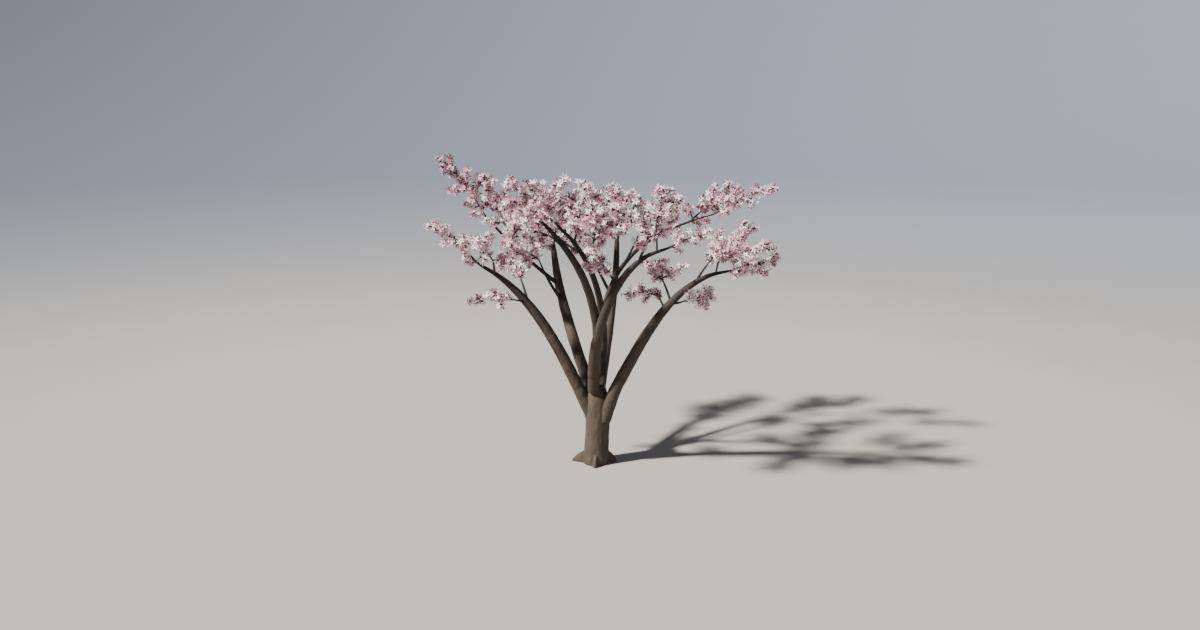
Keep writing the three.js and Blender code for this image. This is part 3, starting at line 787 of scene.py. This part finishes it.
# %% The trunk's outline
COLUMN_HEIGHT, COLUMN_SHOULDER = 1.68, 1.15
FOOT_WIDTH, WAIST_WIDTH, SPREAD_HEIGHT = 0.53, 0.492, 0.56
CROWN_SHARE = 0.45
COLUMN_LEAN, LEAN_HEIGHT = 0.028, 0.8
TOE_HEIGHT, TOE_HALF_WIDTH = 0.245, 0.118
TOE_REACHES = {5: 0.435, 84: 0.42, 170: 0.51, 267: 0.385}  # bearing of each toe, and its reach


def column_radius(z, angle):
    """The column's radius at a height and an angle round its middle.

    The waist, wider towards the ground as (1 - z / spread)^2, is rounded in above the shoulder as
    a quarter of an ellipse. A toe is a parabola in plan: 2 R / (1 + hypot(1, 2 R sin(off) / w)),
    where its ridge R falls back to the waist as 1 - (z / height)^1.5, and the larger radius wins.
    """
    spread = np.clip(1 - z / SPREAD_HEIGHT, 0, 1) ** 2
    dome = np.clip((z - COLUMN_SHOULDER) / (COLUMN_HEIGHT - COLUMN_SHOULDER), 0, 1)
    body = (WAIST_WIDTH + (FOOT_WIDTH - WAIST_WIDTH) * spread) / 2
    body = body * np.sqrt(1 - (1 - CROWN_SHARE**2) * dome**2)
    low = np.clip(1 - np.clip(z / TOE_HEIGHT, 0, None) ** 1.5, 0, 1)
    radius = body
    for bearing, reach in TOE_REACHES.items():
        off = np.radians(np.abs((np.degrees(angle) - bearing + 540) % 360 - 180))
        ridge = body + (reach - body) * low
        toe = 2 * ridge / (1 + np.hypot(1, 2 * ridge * np.sin(off) / TOE_HALF_WIDTH))
        radius = np.maximum(radius, np.where(off < np.pi / 2, toe, 0))
    return radius


def column_middle(z):
    """How far the column's middle lies towards +X: in proportion to its height, up to its lean."""
    return COLUMN_LEAN * np.clip(z / LEAN_HEIGHT, 0, 1)


def gap_to_column(points):
    """Roughly how far points lie outside the column's skin, less than 0 inside it."""
    x, y, z = points[:, 0] - column_middle(points[:, 2]), points[:, 1], points[:, 2]
    outside = np.hypot(x, y) - column_radius(z, np.arctan2(y, x))
    return np.maximum(outside, z - COLUMN_HEIGHT)


print("radius at the waist:", column_radius(np.array([SPREAD_HEIGHT]), np.zeros(1)).round(3)[0], "m")

# %% The trunk's skin
BARK_ROUND, BARK_UP = 240, 230
FLAT_FOOT = 0.02  # the relief grows from nothing at the cut over this height
TRUNK_SWELLINGS = ((0.006, 0.5, 1), (0.003, 0.12, 0.35))  # height, size, and 1 / how long drawn


def trunk_bark():
    """The column's skin: column_radius with its relief, closed by a flat foot and a rounded top."""
    z = np.linspace(0, COLUMN_HEIGHT, BARK_UP)
    a = np.arange(BARK_ROUND) * 2 * np.pi / BARK_ROUND
    z, a = (field.ravel() for field in np.meshgrid(z, a, indexing="ij"))
    radius = column_radius(z, a)
    out, grain = polar(1, a, 0 * a), polar(radius, a, z)
    points = out * radius[:, None] + np.stack([column_middle(z), 0 * z, z], -1)
    height = sum(high * swellings(grain * [1, 1, drawn], size) for high, size, drawn in TRUNK_SWELLINGS)
    height += lenticels(z, a, radius, COLUMN_HEIGHT)
    for name, limb in LIMBS.items():
        if limb.on is None:
            height += collar(points, gap_to(points, [name]), COLLAR_BLEND * limb.width[0] / 2)
    height *= np.clip(z / FLAT_FOOT, 0, 1)
    points += out * height[:, None]
    middles = np.array([[0, 0, 0], [COLUMN_LEAN, 0, COLUMN_HEIGHT]])
    piece = mesh_piece("bark_trunk", np.vstack([points, middles]), tube_faces(BARK_UP, BARK_ROUND))
    return piece, np.vstack([grain, middles])


# %% [markdown]
# Every limb's skin is a tube round its smooth line. Its grain is the limb laid out straight: the
# place across it and the distance along it. The relief and the bark's colours read the grain, so
# they run with the limb, and a stretch of the same thickness looks the same on every limb.

# %% Neighbours and heels
BESIDE = 0.5  # limbs that start less than this apart on the same carrier are neighbours
HEEL_DEPTH, HEEL_RINGS, HEEL_TURN = 0.7, 9, (84, 8)


def neighbours(name):
    """Limbs that may touch this one: those it carries, those that start beside it, its carrier."""
    limb = LIMBS[name]
    carried = [other for other, its in LIMBS.items() if its.on == name]
    beside = [
        other for other, its in LIMBS.items()
        if other != name and its.on == limb.on and abs(its.start - limb.start) < BESIDE
    ]
    return carried + beside + ([limb.on] if limb.on else [])


def add_heel(centres, along, radius):
    """Rings that round a foot off as half an ellipse: radius cos a, at a depth of 0.7 radius sin a."""
    turns = np.radians(np.linspace(*HEEL_TURN, HEEL_RINGS))
    down = HEEL_DEPTH * radius[0] * np.sin(turns)
    under = centres[0] + unit(centres[0] - centres[1]) * down[:, None]
    narrow = radius[0] * np.cos(turns)
    return np.vstack([under, centres]), np.append(-down, along), np.append(narrow, radius)


print("limbs that may touch the leader:", ", ".join(neighbours("leader")))

# %% The skin of a limb
FEWEST_RINGS = 12
LIMB_SWELLINGS = ((0.045, 0.6), (0.02, 0.13))  # height as a share of the radius, and size
FULL_BAND_RADIUS = 0.07  # on a thinner limb the lenticels are lower


def limb_bark(name, step, sides):
    """A limb's skin: its tapering tube with swellings, lenticels and collars, closed at both ends."""
    limb = LIMBS[name]
    foot = limb.width[0] / 2
    rings = max(FEWEST_RINGS, int(limb.length / step))
    centres = smooth_line(LINES[name][0], rings)
    along = np.linspace(0, limb.length, rings)
    radius = limb_radius(limb, along / limb.length)
    if limb.heel:
        centres, along, radius = add_heel(centres, along, radius)
        rings += HEEL_RINGS
    across, over = (np.repeat(field, sides, 0) for field in carried_frames(centres))
    along, radius = np.repeat(along, sides), np.repeat(radius, sides)
    angle = np.tile(np.arange(sides) * 2 * np.pi / sides, rings)
    ring, grain = turned(across, over, angle), polar(radius, angle, along)
    points = np.repeat(centres, sides, 0) + ring * radius[:, None]
    height = radius * sum(high * swellings(grain, size) for high, size in LIMB_SWELLINGS)
    height += lenticels(along, angle, radius, limb.length) * np.clip(radius / FULL_BAND_RADIUS, 0, 1)
    if limb.on is None:
        height += collar(points, gap_to_column(points), COLLAR_BLEND * foot)
    for other in neighbours(name):
        blend = COLLAR_BLEND * min(foot, LIMBS[other].width[0] / 2)
        height += collar(points, gap_to(points, [other]), blend)
    points += ring * height[:, None]
    ends = np.stack([centres[0], centres[-1]])
    piece = mesh_piece("bark_" + name, np.vstack([points, ends]), tube_faces(rings, sides))
    return piece, np.vstack([grain, [[0, 0, 0], [0, 0, limb.length]]])


# %% [markdown]
# ## Finishes
#
# A finish is a small graph of nodes round one Principled shader. To keep the graphs readable, a
# socket is wrapped so that sums and products of values write themselves as Math nodes, and every
# other node is made by one method. Bark reads the limb's grain, stored on its points, so its bands
# run round the limb whichever way the limb turns.

# %% Sockets that add up


class Amount:
    """A number in a finish that may change over the surface. Arithmetic on it adds Math nodes."""

    def __init__(self, finish, socket):
        self.finish, self.socket = finish, socket

    def math(self, operation, first, second):
        return self.finish.node("ShaderNodeMath", {"operation": operation}, {0: first, 1: second})

    def __add__(self, other):
        return self.math("ADD", self, other)

    def __rsub__(self, other):
        return self.math("SUBTRACT", other, self)

    def __mul__(self, other):
        return self.math("MULTIPLY", self, other)

    __radd__, __rmul__ = __add__, __mul__

# %% A finish


class Finish:
    """A material round one Principled shader, whose constants are set on its own sockets."""

    def __init__(self, name, **constants):
        self.material = bpy.data.materials.new(name)
        self.material.use_nodes = True
        self.tree = self.material.node_tree
        self.shader = self.tree.nodes["Principled BSDF"]
        for label, value in constants.items():
            self.shader.inputs[label.replace("_", " ")].default_value = value

    def node(self, kind, settings=None, sockets=None, output=0):
        """Any node: its settings first, then the values or links of its sockets."""
        made = self.tree.nodes.new(kind)
        for key, value in (settings or {}).items():
            setattr(made, key, value)
        for key, value in (sockets or {}).items():
            if isinstance(value, Amount):
                self.tree.links.new(value.socket, made.inputs[key])
            else:
                made.inputs[key].default_value = value
        return Amount(self, made.outputs[output])

    def feed(self, label, amount):
        """Links something to a socket of the shader."""
        self.tree.links.new(amount.socket, self.shader.inputs[label])

    def place(self):
        """Where a point lies in the piece's own space, in metres."""
        return self.node("ShaderNodeTexCoord", output="Object")

    def colours(self, share, first, second):
        """A colour between two others, by a share. Sockets 6 and 7 of the node take the colours."""
        first, second = (c if isinstance(c, Amount) else (*c, 1.0) for c in (first, second))
        return self.node("ShaderNodeMix", {"data_type": "RGBA"}, {0: share, 6: first, 7: second}, output=2)

    def noise(self, place, scale, detail=3.0):
        """Fractal noise from 0 to 1 at a place, with that many features in a metre."""
        return self.node("ShaderNodeTexNoise", None, {"Vector": place, "Scale": scale, "Detail": detail})

    def stretched(self, place, factors):
        """A place with each of its directions scaled."""
        return self.node("ShaderNodeVectorMath", {"operation": "MULTIPLY"}, {0: place, 1: factors})

    def out(self, place):
        """How far a place lies from the upright line through the middle."""
        flat = self.stretched(place, (1, 1, 0))
        return self.node("ShaderNodeVectorMath", {"operation": "LENGTH"}, {0: flat}, output="Value")

    def between(self, amount, low, high):
        """0 below a low value, 1 above a high one, and even between."""
        return self.node("ShaderNodeMapRange", None, {"Value": amount, "From Min": low, "From Max": high})

    def bump(self, height, distance, strength):
        """Feeds a height, in shares of a distance in metres, to the shader's Normal."""
        sockets = {"Height": height, "Distance": distance, "Strength": strength}
        self.feed("Normal", self.node("ShaderNodeBump", None, sockets))

# %% [markdown]
# Thin limbs are painted nearly black. This is painted shade, standing in for the shade that the crown casts
# on the upper, thinner limbs. Thick limbs are brown with paler cork. The grain's distance from the limb's
# middle line is the limb's radius there, so one finish serves every limb: it goes from the painted shade to
# brown between 3 and 14 cm. Stretching the grain before the noise reads it squeezes the patches along the
# limb, which makes them bands and dashes that run round it.

# %% Bark, twigs and stalks
# The first colour is painted shade: thin limbs are nearly black, standing in for the crown's shade on the
# upper limbs.
PAINTED_SHADE_THIN, OLD_DARK, OLD_LIGHT = (0.014, 0.0105, 0.009), (0.05, 0.036, 0.026), (0.082, 0.06, 0.043)
CORK_BAND, CORK_DASH = (0.044, 0.032, 0.024), (0.125, 0.094, 0.07)
TWIG_DARK, TWIG_RED = (0.016, 0.012, 0.011), (0.045, 0.03, 0.026)
STALK_GREEN, STALK_RED = (0.13, 0.12, 0.05), (0.15, 0.045, 0.04)
# Below the first radius a limb is all painted shade, above the second all brown.
SHADE_RADIUS, BROWN_RADIUS = 0.03, 0.14


def bark_finish():
    """Cherry bark: painted shade, nearly black, while a limb is thin, then brown, with cloudy patches,
    bands and pale dashes.
    """
    finish = Finish("cherry bark", Specular_IOR_Level=0.35)
    grain = finish.node("ShaderNodeAttribute", {"attribute_name": "grain"}, output="Vector")
    clouds = finish.between(finish.noise(grain, scale=4, detail=4), 0.35, 0.65)
    bands = finish.noise(finish.stretched(grain, (1, 1, 9)), scale=9, detail=4)
    spots = finish.noise(finish.stretched(grain, (1, 1, 7)), scale=26, detail=2)
    dashes = finish.between(spots, 0.6, 0.68)
    fine = finish.noise(grain, scale=160)
    # Painted shade: 0 on thin limbs, which take the nearly black colour, 1 on thick brown ones, where it
    # also lets in the cork bands and dashes.
    girth_and_shade = finish.between(finish.out(grain), SHADE_RADIUS, BROWN_RADIUS)
    body = finish.colours(girth_and_shade, PAINTED_SHADE_THIN, finish.colours(clouds, OLD_DARK, OLD_LIGHT))
    banded = finish.colours(finish.between(bands, 0.42, 0.62) * girth_and_shade * 0.5, body, CORK_BAND)
    finish.feed("Base Color", finish.colours(dashes * girth_and_shade * 0.4, banded, CORK_DASH))
    finish.feed("Roughness", 0.86 - 0.2 * finish.between(bands, 0.4, 0.7))
    finish.bump(bands * 0.7 + dashes * 0.5 + fine * 0.35, distance=0.006, strength=0.5)
    return finish.material


def twig_finish():
    """Dark, slightly glossy young bark, redder where it is lighter."""
    finish = Finish("twig bark", Specular_IOR_Level=0.4)
    place = finish.place()
    patches = finish.between(finish.noise(place, scale=30), 0.35, 0.65)
    finish.feed("Base Color", finish.colours(patches, TWIG_DARK, TWIG_RED))
    finish.feed("Roughness", 0.72 - 0.2 * patches)
    finish.bump(finish.noise(place, scale=220), distance=0.002, strength=0.4)
    return finish.material


def stalk_finish():
    """Green stalks and cups, flushed with red."""
    finish = Finish("flower stalks", Roughness=0.55)
    flush = finish.between(finish.noise(finish.place(), scale=14, detail=2), 0.35, 0.6)
    finish.feed("Base Color", finish.colours(flush, STALK_GREEN, STALK_RED))
    return finish.material


bark, twig_bark = bark_finish(), twig_finish()
print("nodes in the bark's finish:", len(bark.node_tree.nodes))

# %% [markdown]
# Petals are matt, thin and almost white to mauve. One finish serves all tints, hearts and buds.

# %% Petals
TINTS = {
    "ivory": (0.95, 0.9, 0.89),
    "blush": (0.91, 0.74, 0.77),
    "pink": (0.84, 0.55, 0.62),
    "rose": (0.68, 0.37, 0.45),
    "mauve": (0.4, 0.2, 0.27),
}
HEART_RED, BUD_ROSE = (0.55, 0.27, 0.33), (0.6, 0.27, 0.36)
PETAL_ROUGHNESS, BUD_ROUGHNESS = 0.6, 0.45
DEEPER_POWER, DEEPER_SHARE = 1.12, 0.9  # the deeper patches: 0.9 times the tint to this power


def petal_finish(name, colour, roughness=PETAL_ROUGHNESS):
    """A matt petal: its tint, a little deeper in soft patches, with faint veins in its relief."""
    finish = Finish(name, Specular_IOR_Level=0.3)
    place = finish.place()
    patches = finish.between(finish.noise(place, scale=9), 0.3, 0.7)
    deeper = np.array(colour) ** DEEPER_POWER * DEEPER_SHARE
    finish.feed("Base Color", finish.colours(patches, deeper, colour))
    finish.feed("Roughness", roughness + 0.15 * patches)
    finish.bump(finish.noise(place, scale=260, detail=2), distance=0.0015, strength=0.25)
    return finish.material


print("tints:", ", ".join(TINTS))

# %% [markdown]
# ## Dressing the tree
#
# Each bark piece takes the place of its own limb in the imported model. Twigs, spurs and flowers
# can't be told apart by mass, so each of these pieces stands for all the masses together.

# %% Dress the trunk and boughs
LONG_GRID, SIDE_GRID = (0.0165, 48), (0.014, 28)  # length of a face along a limb, faces round it


def finish_bark(piece, grain, node):
    """Stores the limb's grain on its points and gives the skin its finish."""
    stored = piece.data.attributes.new("grain", "FLOAT_VECTOR", "POINT")
    stored.data.foreach_set("vector", grain.astype(np.float32).ravel())
    piece.data.materials.append(bark)
    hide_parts(node)


finish_bark(*trunk_bark(), "trunk")
for name, limb in LIMBS.items():
    skin = limb_bark(name, *(LONG_GRID if limb.steps > SHORT_STEPS else SIDE_GRID))
    finish_bark(*skin, "trunk" if name == "leader" else name)

# %% Dress the twigs and shoots
MASS_NODES = ["blossom_" + name for name in MASSES]
STEM_TIP, TWIG_TIP, SHOOT_FOOT, SHOOT_TIP = 0.011, 0.007, 0.009, 0.005
SIDE_STOUTER = 1.5  # a side twig's foot is this much thicker than the plain model's


def dress(piece, material):
    """Finishes a piece that stands, with others, for the masses of blossom."""
    piece.data.materials.append(material)
    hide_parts(*MASS_NODES)


def twig_piece(name, curves, feet, tip, rings, sides):
    """Tubes round cubic curves, whose radii fall evenly from each foot to the one tip."""
    share = np.linspace(0, 1, rings)
    radii = feet[:, None] + (tip - feet[:, None]) * share
    dress(mesh_piece(name, *tubes(on_curve(curves[:, None], share), radii, sides)), twig_bark)


stem = twig_feet > TWIG_FOOT
twig_piece("stems", twig_curves[stem], twig_feet[stem], STEM_TIP, rings=28, sides=10)
side_feet = twig_feet[~stem] * SIDE_STOUTER
twig_piece("side_twigs", twig_curves[~stem], side_feet, TWIG_TIP, rings=16, sides=6)
shoot_feet = np.full(len(shoot_curves), SHOOT_FOOT)
twig_piece("shoots", shoot_curves, shoot_feet, SHOOT_TIP, rings=6, sides=4)

# %% [markdown]
# Among the flowers stand short dark points: the woody spurs themselves and, on about every fifth one, the
# young leaves, still folded. The leaves' dark colour is partly painted shade, standing in for the dark
# flecks of shaded petal backs in the blossom. Both are the same spindle, small or two to three times as
# long.

# %% Dress the spurs
LEAF_AND_SHADE_SHARE = 0.22  # share of spurs whose folded young leaves already stand out, dark also as painted shade
SPUR_LENGTH, LEAF_AND_SHADE_LENGTHS = 0.035, (0.07, 0.1)
leaves_and_shade = rng.random(len(spur_places)) < LEAF_AND_SHADE_SHARE
spur_sizes = np.where(leaves_and_shade, rng.uniform(*LEAF_AND_SHADE_LENGTHS, len(spur_places)), SPUR_LENGTH)
dress(pattern_piece("spurs", SPUR, spur_places, spur_ways, spur_sizes), twig_bark)

# %% Open the flowers
for number, tint in enumerate(TINT_SHARES):
    mine = spur_tints[flower_spur] == number
    flowers = flower_places[mine], flower_ways[mine], flower_sizes[mine]
    piece = pattern_piece("petals_" + tint, FLOWER, *flowers)
    dress(piece, petal_finish(tint + " petals", TINTS[tint]))

# %% Hearts and buds
hearts = pattern_piece("flower_hearts", HEART, flower_places, flower_ways, flower_sizes)
dress(hearts, petal_finish("flower hearts", HEART_RED))
buds = pattern_piece("flower_buds", BUD, bud_places, bud_ways, bud_sizes)
dress(buds, petal_finish("bud petals", BUD_ROSE, BUD_ROUGHNESS))

# %% Stalks
STALK_RADIUS = 0.0045


def stalks():
    """A slim closed spike from each spur to its flower or bud, widening into the flower's cup."""
    ends = np.vstack([flower_places, bud_places])
    run = ends - spur_places[np.concatenate([flower_spur, bud_spur])]
    lengths = np.linalg.norm(run, axis=1)
    points, faces = cone(sides=3, radius=STALK_RADIUS, low=0.0, high=-1.0)
    scaled = points * np.stack([np.ones(len(run)), np.ones(len(run)), lengths], -1)[:, None]
    facing, across, over = frames_of(run / lengths[:, None])
    turned = np.einsum("npk,nkc->npc", scaled, np.stack([across, over, facing], 1))
    return (ends[:, None] + turned).reshape(-1, 3), repeat_faces(faces[:, ::-1], len(points), len(run))


dress(mesh_piece("flower_stalks", *stalks()), stalk_finish())

# %% [markdown]
# ## Floor, light and camera
#
# A plain pale floor that turns grey-blue far out, so that pale flowers stand out from it, one even
# soft light from high on the left and in front, a weak one from the other side to open the
# shadows, and an even pale sky. The camera looks slightly down on the tree.

# %% The floor
FLOOR_FLAT, FLOOR_EDGE, FLOOR_RISE = 26, 66, 60
FLOOR_RINGS, FLOOR_SIDES = 14, 96
FLOOR_DROP = 0.001  # keeps the floor just clear of the trunk's cut
PALE_FLOOR, PALER_FLOOR, FAR_FLOOR = (0.36, 0.33, 0.29), (0.39, 0.36, 0.32), (0.13, 0.15, 0.19)
FAR_FROM, FAR_TO = 12, 40  # metres out, where the floor starts and ends turning grey-blue


def floor():
    """A dish under the cut: flat out to 26 m, then rising as (out - 26)^2 / 60 to hide the far edge."""
    out = np.array([5, 12, 20, *np.linspace(FLOOR_FLAT, FLOOR_EDGE, FLOOR_RINGS)])
    around = np.linspace(0, 2 * np.pi, FLOOR_SIDES + 1)[:-1]
    rings = len(out)
    out, around = (field.ravel() for field in np.meshgrid(out, around, indexing="ij"))
    up = np.clip(out - FLOOR_FLAT, 0, None) ** 2 / FLOOR_RISE - FLOOR_DROP
    mesh = bpy.data.meshes.new("floor")
    quads = grid_faces(rings, FLOOR_SIDES)[:, ::-1].tolist()
    mesh.from_pydata(polar(out, around, up).tolist(), [], [*quads, [*range(FLOOR_SIDES)]])
    mesh.shade_smooth()
    finish = Finish("pale floor", Roughness=0.9)
    place = finish.place()
    near = finish.colours(finish.noise(place, scale=0.4, detail=2), PALE_FLOOR, PALER_FLOOR)
    far = finish.between(finish.out(place), FAR_FROM, FAR_TO)
    finish.feed("Base Color", finish.colours(far, near, FAR_FLOOR))
    mesh.materials.append(finish.material)
    add_object("floor", mesh)


floor()
print("floor:", 2 * FLOOR_EDGE, "m across")

# %% Lights and camera
WARM, COOL = (1.0, 0.97, 0.93), (0.9, 0.95, 1.0)
KEY_DEGREES, FILL_SIZE = 4, 9  # how wide the lights look: degrees of sky, and metres
SKY_COLOUR, SKY_STRENGTH = (0.5, 0.57, 0.68, 1.0), 0.24
LENS, SENSOR = 30, 36
CAMERA_PLACE, CAMERA_AIM = (0.08, -19.589, 7.13), (0.08, 0, 3.095)


def look_from(thing, place, aim):
    """Puts a light or camera at a place, turned so that it looks at a point."""
    thing.location = place
    thing.rotation_euler = (Vector(aim) - Vector(place)).to_track_quat("-Z", "Y").to_euler()


def soft_light(name, kind, place, aim, power, colour):
    """A light of a kind that faces a point. How soft it is gets set on what this returns."""
    data = bpy.data.lights.new(name, kind)
    data.energy, data.color = power, colour
    look_from(add_object(name, data), place, aim)
    return data


key = soft_light("key", "SUN", (-14.5, -6.5, 15), aim=(0, 0, 0), power=10.5, colour=WARM)
key.angle = np.radians(KEY_DEGREES)
fill = soft_light("fill", "AREA", (13, -9, 7), aim=(0, 0, 3.5), power=90, colour=COOL)
fill.size = FILL_SIZE
world = bpy.data.worlds.new("sky")
bpy.context.scene.world = world
world.use_nodes = True
sky = world.node_tree.nodes["Background"].inputs
sky["Color"].default_value, sky["Strength"].default_value = SKY_COLOUR, SKY_STRENGTH

camera_data = bpy.data.cameras.new("camera")
camera_data.lens, camera_data.sensor_width = LENS, SENSOR
camera = add_object("camera", camera_data)
look_from(camera, CAMERA_PLACE, CAMERA_AIM)
bpy.context.scene.camera = camera
print("the camera looks along", (Vector(CAMERA_AIM) - Vector(CAMERA_PLACE)).normalized())
